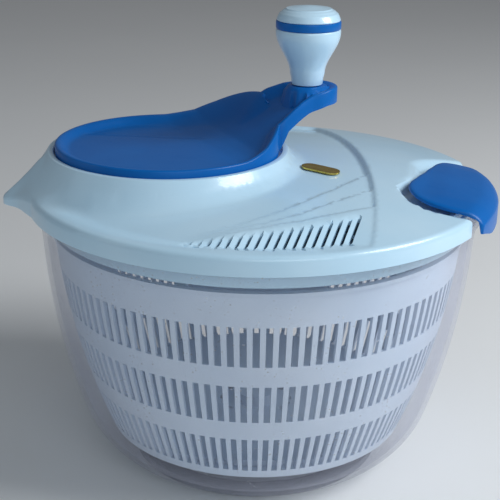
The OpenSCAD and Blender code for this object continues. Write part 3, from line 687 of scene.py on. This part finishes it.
def build_lid():
    outline = lid_outline()
    if sum(a[0] * b[1] - b[0] * a[1] for a, b in zip(outline, outline[1:] + outline[:1])) < 0:
        outline.reverse()
    along = [p[0] * SPOUT[0] + p[1] * SPOUT[1] for p in outline]
    scale = [1 - 0.62 * smooth((a - 126) / 12) for a in along]
    slots = vent_shapes()
    lines = [(ring_points(TURRET, r, 120), LINE) for r, _ in LIP[1:]]
    holes = [(ring_points(TURRET, HUB_HOLE_R, 48), FREE)] + [(s[0], FREE) for s in slots]
    field = [tuple(slots[0][1] - slots[0][3] * 4.2 - slots[0][2] * 1.2)]
    field += [tuple(s[1] - s[2] * 1.6) for s in slots]
    field += [tuple(slots[-1][1] + slots[-1][3] * 2.2 - slots[-1][2] * 1.2)]
    field += [tuple(s[0][len(s[0]) // 2 - 2] + s[2] * 1.6) for s in reversed(slots)]
    field += [tuple(slots[0][1] - slots[0][3] * 4.2 + slots[0][2] * 4.5)]
    loose = [p for p in hex_grid(-142, 128, -128, 128, 2.3)]
    from_lip = [math.hypot(p[0] - TURRET[0], p[1] - TURRET[1]) for p in loose]
    loose = [p for p, d in zip(loose, from_lip) if d > 67 or 15 < d < 61]
    keep = ~inside(loose, field)
    loose = [p for p, k in zip(loose, keep) if k]
    # points that follow the panel's edge and the terraces keep their creases sharp
    cx, cy, r = PANEL_EDGE
    for inset in (0.0, 1.2, 2.6, 4.0):
        loose += [(cx + (r - inset) * math.cos(a), cy + (r - inset) * math.sin(a))
                  for a in np.arange(-0.175, 0.305, 1.6 / r)]
    for line in TERRACES:
        for off in (-0.7, 0.0, 0.7):
            loose += [(x, y + off) for x, y in smooth_path(line, 1.6)]
    loose = [p for p in loose if math.hypot(p[0] - TURRET[0], p[1] - TURRET[1]) > 67
             or 15 < math.hypot(p[0] - TURRET[0], p[1] - TURRET[1]) < 61]
    keep = ~inside(loose, field)
    loose = [p for p, k in zip(loose, keep) if k]
    _, foot, lean, side = slots[0]
    loose += [tuple(foot - side * (VENT_SLOT / 2 + VENT_BAR) + lean * k) for k in (0.5, 2, 3.2)]
    for ring in (68, 70, 72.5, 75.5):
        loose += ring_points(TURRET, ring, 150)

    def top(x, y, tag):
        reach = math.hypot(x - TURRET[0], y - TURRET[1])
        if reach < TURRET_R + 0.05:
            return lookup(LIP, reach)
        z = lid_base(x, y)
        if 60 < x and abs(y + 10) < 62:
            depth = float(pocket_depth([(x, y)])[0])
            z -= POCKET_DEPTH * smooth(depth / (POCKET_SLOPE - POCKET_STEEP * smooth((-18 - y) / 10)))
        for k, (loop, foot, lean, side) in enumerate(slots):
            rel = np.array([x, y]) - foot
            u, v = float(rel @ side), float(rel @ lean)
            if -VENT_SLOT / 2 - 0.01 - VENT_BAR * 0.9 < u < 0.3 and -0.2 < v < vent_length(k) + 0.2:
                share = 1 - max(0.0, (-VENT_SLOT / 2 - u)) / VENT_BAR
                z -= VENT_DROP * share
                break
        if tag < 3.0:
            z -= lookup(EDGE_DROP, tag) * lookup([(124, 1.0), (138, 0.5)], x * SPOUT[0] + y * SPOUT[1])
        return z

    def under(x, y, tag, z):
        reach = math.hypot(x - TURRET[0], y - TURRET[1])
        if reach < 64.9:
            return TURRET_FLOOR - LID_WALL
        r = math.hypot(x, y)
        ahead = x * SPOUT[0] + y * SPOUT[1]
        low = SKIRT_Z - 0.6 * smooth((ahead - 130) / 8)
        if tag <= 2.0:
            return min(low, z - 1.0) if r > 118.5 else z - LID_WALL
        return z - LID_WALL

    ones = [1.0] * len(outline)
    insets = [(0, ones)] + [(d, scale) for d in (0.25, 0.9, 1.9, 3.0)]
    lid = shell("lid_shell_body", outline, insets, lines + holes, loose, top, under, 32)
    outer, inner, foot = SPIGOT_R, SPIGOT_R - LID_WALL, SPIGOT_FOOT
    ring = lathe("lid_ring", [(outer, SPIGOT_TOP), (outer, foot + 2.0), (outer - 0.4, foot + 0.4),
                              (outer - 1.1, foot), (outer - 1.8, foot + 0.4), (inner, foot + 2.0),
                              (inner, SPIGOT_TOP), (outer, SPIGOT_TOP)], count=180)
    # the ring is open towards the beak, so that water can run out
    select_only(ring)
    bpy.ops.object.mode_set(mode="EDIT")
    bpy.ops.mesh.select_all(action="DESELECT")
    bpy.ops.object.mode_set(mode="OBJECT")
    for face in ring.data.polygons:
        c = face.center
        if c.x * SPOUT[0] + c.y * SPOUT[1] > 0.09 and abs(-c.x * SPOUT[1] + c.y * SPOUT[0]) < 0.018:
            face.select = True
    bpy.ops.object.mode_set(mode="EDIT")
    bpy.ops.mesh.delete(type="FACE")
    bpy.ops.mesh.select_all(action="DESELECT")
    bpy.ops.mesh.select_all(action="SELECT")
    bpy.ops.mesh.fill_holes(sides=0)
    bpy.ops.mesh.normals_make_consistent(inside=False)
    bpy.ops.object.mode_set(mode="OBJECT")
    return join("lid_top", lid, ring)


# ---- crank ----
DISC_R = 62.0
ARM_TOP = 209.5
ARM_END = 78.0
ARM_END_R = 17.0
# how much further along the arm the lip's line reads for each mm across it
LIP_LEAN = 0.24
# (distance along the arm, height) of the crank's lip and of its underside
LIP_LINE = [(-90, 181.3), (15, 181.3), (22, 181.4), (29, 182.6), (37, 184.6), (42, 187.6), (48, 191.2),
            (55, 196.2), (60, 199.8), (66, 203.6), (74, 207.2), (84, 209.3), (100, 209.5)]
UNDER_LINE = [(50, 175.9), (54, 176.5), (57, 181), (61, 189), (68, 194), (74, 197.5), (85, 200.5),
              (100, 201)]
# (distance along the arm, half width) of the arm
ARM_SIDE = [(57.2, 23.9), (60, 23.6), (64, 22.2), (68, 20.6), (73, 18.6), (78, 17.0)]
CRANK_EDGE = [(0, 0.9), (0.3, 0.35), (0.9, 0.05), (1.6, 0.0)]
# the flat seat of the knob, and the crease across the dish
SEAT_R = 10.2
SWOOSH_DEPTH = 0.9


def arm_uv(x, y):
    dx, dy = x - TURRET[0], y - TURRET[1]
    return dx * ARM[0] + dy * ARM[1], -dx * ARM[1] + dy * ARM[0]


def from_uv(u, v):
    return TURRET[0] + u * ARM[0] - v * ARM[1], TURRET[1] + u * ARM[1] + v * ARM[0]


def crank_plan():
    """The crank's outline along the arm: a disc whose rim runs on into the arm and round its end."""
    side = smooth_path(ARM_SIDE, 1.5)[:-1]
    end = [(ARM_END + ARM_END_R * math.cos(a), ARM_END_R * math.sin(a))
           for a in np.linspace(math.pi / 2, -math.pi / 2, 25)]
    start = math.atan2(ARM_SIDE[0][1], ARM_SIDE[0][0])
    disc = [(DISC_R * math.cos(a), DISC_R * math.sin(a))
            for a in np.linspace(2 * math.pi - start, start, 150)]
    return list(reversed(side + end + [(u, -w) for u, w in reversed(side)] + disc[1:-1]))


def build_crank():
    plan = crank_plan()
    outline = [from_uv(u, v) for u, v in plan]
    ones = [1.0] * len(outline)
    loose = hex_grid(-114, 50, -64, 64, 1.6)
    edge = outline + outline[:1]
    for inset in (2.6, 3.4, 4.4):
        loose += offset_loop(outline, inset)
    memo = {(round(p[0], 2), round(p[1], 2)): d for p, d in zip(loose, distance_to(loose, edge))}

    def reach(x, y):
        key = (round(x, 2), round(y, 2))
        if key not in memo:
            memo[key] = float(distance_to([key], edge)[0])
        return memo[key]

    def top(x, y, tag):
        u, v = arm_uv(x, y)
        into = tag if tag < 2 else reach(x, y)
        lip = lookup(LIP_LINE, u + LIP_LEAN * v)
        broad = 6.0 + 13.0 * smooth((v + 8) / 22) * smooth((u + 20) / 50)
        broad = broad if u < 58 else min(broad, 7.0)
        down = smooth((into - 1.7) / broad)
        deep = 3.4 + 0.9 * smooth((u - 20) / 30) - 1.2 * smooth((u - 66) / 12)
        z = lip - deep * down
        swoosh = v - 30 + 0.35 * (u + 30)
        ends = smooth((34 - u) / 20) * smooth((u + 54) / 20)
        z -= SWOOSH_DEPTH * smooth((swoosh + 4) / 8) * smooth((into - 3) / 6) * ends
        seat = math.hypot(u - ARM_END, v)
        if seat < 13:
            z = max(z, ARM_TOP + 0.1 - 3.2 * smooth((seat - SEAT_R) / 2.6))
        if tag < 1.6:
            z -= lookup(CRANK_EDGE, tag)
        return z

    def under(x, y, tag, z):
        u, v = arm_uv(x, y)
        return min(lookup(UNDER_LINE, u + 0.3 * LIP_LEAN * v), z - 1.2)

    insets = [(d, ones) for d in (0, 0.3, 0.9, 1.6)]
    return shell("crank_handle", outline, insets, [], loose, top, under, 40)


# ---- latch ----
def latch_point(u, v):
    return u * LATCH[0] - v * LATCH[1], u * LATCH[1] + v * LATCH[0]


LATCH_OUT = 4.5
LATCH_TRAVEL = 4.0
# with the latch locked, what lies outside this radius may hang down past the bowl's rim
RIM_CLEAR = 126.0
# the latch's outline in its own direction: its near side, its far side and its finger scallop
LATCH_PLAN = [(84.6, -18.6), (86.0, -26), (90.5, -34), (97, -38.6), (104, -40.3), (112, -40.6), (119, -40.2),
              (121, -40.1), (122.5, -40), (123.9, -39.85)]
LATCH_BACK = [(122.4, 43.6), (121.2, 43.8), (119, 44.0), (112, 44.2), (105, 43.6), (99, 40.2), (95.6, 33),
              (93.6, 24), (91.6, 15.5)]
LATCH_SCALLOP = [(91.6, 15.5), (90.6, 9), (88.6, 2), (87.0, -5), (85.2, -12), (84.6, -18.6)]


def build_latch():
    outer = []
    for v in np.arange(-39.6, 43.5, 2.3):
        outer.append((LATCH_OUT + math.sqrt(LID_R ** 2 - v * v), v))
    plan = smooth_path(LATCH_PLAN, 1.8) + outer + smooth_path(LATCH_BACK, 1.8)[:-1]
    plan += smooth_path(LATCH_SCALLOP, 1.8)[:-1]
    outline = [latch_point(u, v) for u, v in plan]
    if sum(a[0] * b[1] - b[0] * a[1] for a, b in zip(outline, outline[1:] + outline[:1])) < 0:
        outline.reverse()
    ones = [1.0] * len(outline)
    loose = hex_grid(70, 140, -80, 40, 1.7)

    def along(x, y):
        return x * LATCH[0] + y * LATCH[1], -x * LATCH[1] + y * LATCH[0]

    def face(u, v):
        r = math.hypot(u - LATCH_OUT, v)
        z = dome(min(r, 121.5)) + 1.3
        z += 1.0 * smooth((u - 92) / 14) * smooth((44 - abs(v)) / 18)
        return z - 6.0 * (1 - math.sqrt(max(0.0, 1 - smooth((r - 116) / 11) ** 2)))

    def top(x, y, tag):
        return face(*along(x, y)) - lookup([(0, 1.0), (0.3, 0.5), (1.0, 0.15), (2.4, 0.0)], tag)

    def under(x, y, tag, z):
        u, v = along(x, y)
        locked = math.hypot(u - LATCH_TRAVEL, v)
        low = face(u, v) - 1.6 - 0.6 * smooth((u - 88) / 10)
        if tag < 2.4 and locked > RIM_CLEAR:
            low = 146.5 + 5.0 * smooth((abs(v) - 20) / 24)
        elif locked > RIM_CLEAR - 7:
            low = max(low, 158.6)
        return min(z - 0.5, low)

    insets = [(d, ones) for d in (0, 0.3, 1.0, 2.4)]
    return shell("latch_cover", outline, insets, [], loose, top, under, 40)


# ---- bowl ----
def bow_path(a, b, bow, n, inset=0.0):
    """Points of an arc from a to b that bows outwards."""
    a, b = np.array(a, float), np.array(b, float)
    d = b - a
    chord = float(np.linalg.norm(d))
    r = (chord * chord / 4 + bow * bow) / (2 * bow)
    right = np.array([d[1], -d[0]]) / chord
    centre = (a + b) / 2 - right * (r - bow)
    start = math.atan2(a[1] - centre[1], a[0] - centre[0])
    sweep = 2 * math.asin(chord / 2 / r)
    turns = [start + sweep * i / n for i in range(n + 1)]
    return [tuple(centre + (r - inset) * np.array([math.cos(a), math.sin(a)])) for a in turns]


# (radius, height) of the bowl's side, and how far its two arcs bow out
BOWL_FOOT = (76, 3)
BOWL_HEEL = (101, 33)
BOWL_NECK = (120, 135)
HEEL_BOW = 3.8
WALL_BOW = 3.5
BOWL_WALL = 2.4
BOWL_FLOOR = BOWL_FOOT[1] + BOWL_WALL
PIN_SEAT_R = 4.05


def bowl_side(inset):
    flare = [(120.7, 141.0), (121.6, 144.6), (124.0, 148.6), (124.3, 150.0)]
    lower = bow_path(BOWL_FOOT, BOWL_HEEL, HEEL_BOW, 14, inset)
    upper = bow_path(BOWL_HEEL, BOWL_NECK, WALL_BOW, 22, inset)
    return lower + upper[1:] + [(r - inset, z) for r, z in flare]


def build_bowl():
    inner = [p for p in bowl_side(BOWL_WALL) if p[1] > BOWL_FLOOR]
    profile = [(TINY, 3.0), (9.9, 3.0), (10.0, 3.2), (58, 3.1)] + bowl_side(0)
    profile += [(124.3, 156.7), (124.0, 157.3), (123.3, 157.5), (122.6, 157.5), (122.1, 157.2)]
    profile.append((121.9, 156.6))
    profile += list(reversed(inner)) + [(66, BOWL_FLOOR), (9.6, BOWL_FLOOR), (9.2, 5.8), (9.0, 6.4)]
    profile += [(9.0, 12.2), (8.5, 12.6), (PIN_SEAT_R, 12.6), (PIN_SEAT_R, 7.0), (TINY, 7.0)]
    return lathe("bowl_clear", profile, count=192, angle=40)


# ---- knob ----
KNOB_R = 17.9
BAND_H = 4.4
CAVITY_R = 10.0
CAVITY_H = 9
PLUG_R = 10.9
PLUG_H = 4.0
PIN_BORE = 4.06


def rounded_band(r, z, h):
    return [(r - 0.6, z), (r - 0.15, z + 0.25), (r, z + 0.8), (r, z + h - 0.8), (r - 0.15, z + h - 0.25),
            (r - 0.6, z + h)]


def build_knob():
    z, h = KNOB_Z, KNOB_BODY
    floor_z, waist_r = z + h - CAVITY_H, 9.6
    body = [(PIN_BORE, floor_z), (PIN_BORE, z), (8.0, z), (8.5, z + 0.3), (8.7, z + 0.9), (8.9, z + 3.2)]
    body.append((waist_r, z + 6.0))
    for i in range(1, 13):
        t = i / 12
        s = (1 - math.cos(math.pi * t)) / 2
        body.append((waist_r + (KNOB_R - waist_r) * s, z + 6.0 + (h - 7.8) * t))
    body += [(KNOB_R, z + h - 0.8), (KNOB_R - 0.3, z + h - 0.2), (KNOB_R - 0.8, z + h), (CAVITY_R, z + h)]
    body += [(CAVITY_R, floor_z), (PIN_BORE, floor_z)]
    grip = lathe("knob_grip", body, KNOB, 96, 40)
    zr = z + h
    band = [(CAVITY_R + 1, zr)] + rounded_band(KNOB_R, zr, BAND_H) + [(CAVITY_R + 1, zr + BAND_H)]
    band = lathe("knob_band", band + [(CAVITY_R + 1, zr)], KNOB, 96, 40)
    zc = zr + BAND_H
    cap = [(TINY, zc - PLUG_H), (PLUG_R, zc - PLUG_H), (PLUG_R, zc), (16.9, zc), (17.35, zc + 0.2)]
    cap.append((17.5, zc + 0.7))
    cap += [(17.5 - 0.35 * i, zc + 0.7 + 3.6 * math.sin(i * 0.26)) for i in range(1, 7)]
    cap += [(14.6, zc + 5.1), (13.9, zc + 5.6), (13.2, zc + 5.8), (12.8, zc + 6.1)]
    for i in range(6):
        t = i / 6
        cap.append((12.4 - 12.2 * t ** 0.8, zc + 6.5 + 1.35 * math.sin(t * math.pi / 2)))
    cap += [(TINY, zc + 7.9)]
    return grip, band, lathe("knob_top", cap, KNOB, 96, 30)


# ---- put together ----
build_camera()
floor = build_studio()
paints = build_materials()
floor_paint = Paint("studio_floor")
pale, paler = rgb(0.86, 0.87, 0.88), rgb(0.90, 0.91, 0.92)
floor_paint.feed(Base_Color=floor_paint.mix(pale, paler, floor_paint.noise(3, 3)))
floor_paint.shader.inputs["Roughness"].default_value = 0.7
floor.data.materials.append(floor_paint.material)

slots = {part["node"]: part["material_slot"] for part in frame["record"]["subparts"]}
body_of = {node: body for body, nodes in frame["record"]["behaviour"]["bodies"].items() for node in nodes}


def place(piece, node, *more):
    piece.data.materials.clear()
    piece.data.materials.append(paints[slots[node]])
    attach(piece, body_of[node])
    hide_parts(node, *more)


for node, ob in frame["nodes"].items():
    for k in range(max(1, len(ob.material_slots))):
        if k < len(ob.material_slots):
            ob.material_slots[k].material = paints[slots[node]]
        else:
            ob.data.materials.append(paints[slots[node]])

place(build_lid(), "lid_shell")
place(build_crank(), "crank")
place(build_latch(), "latch")
place(build_bowl(), "bowl")
grip, band, cap = build_knob()
place(grip, "knob_body")
place(band, "knob_ring")
place(cap, "knob_cap")
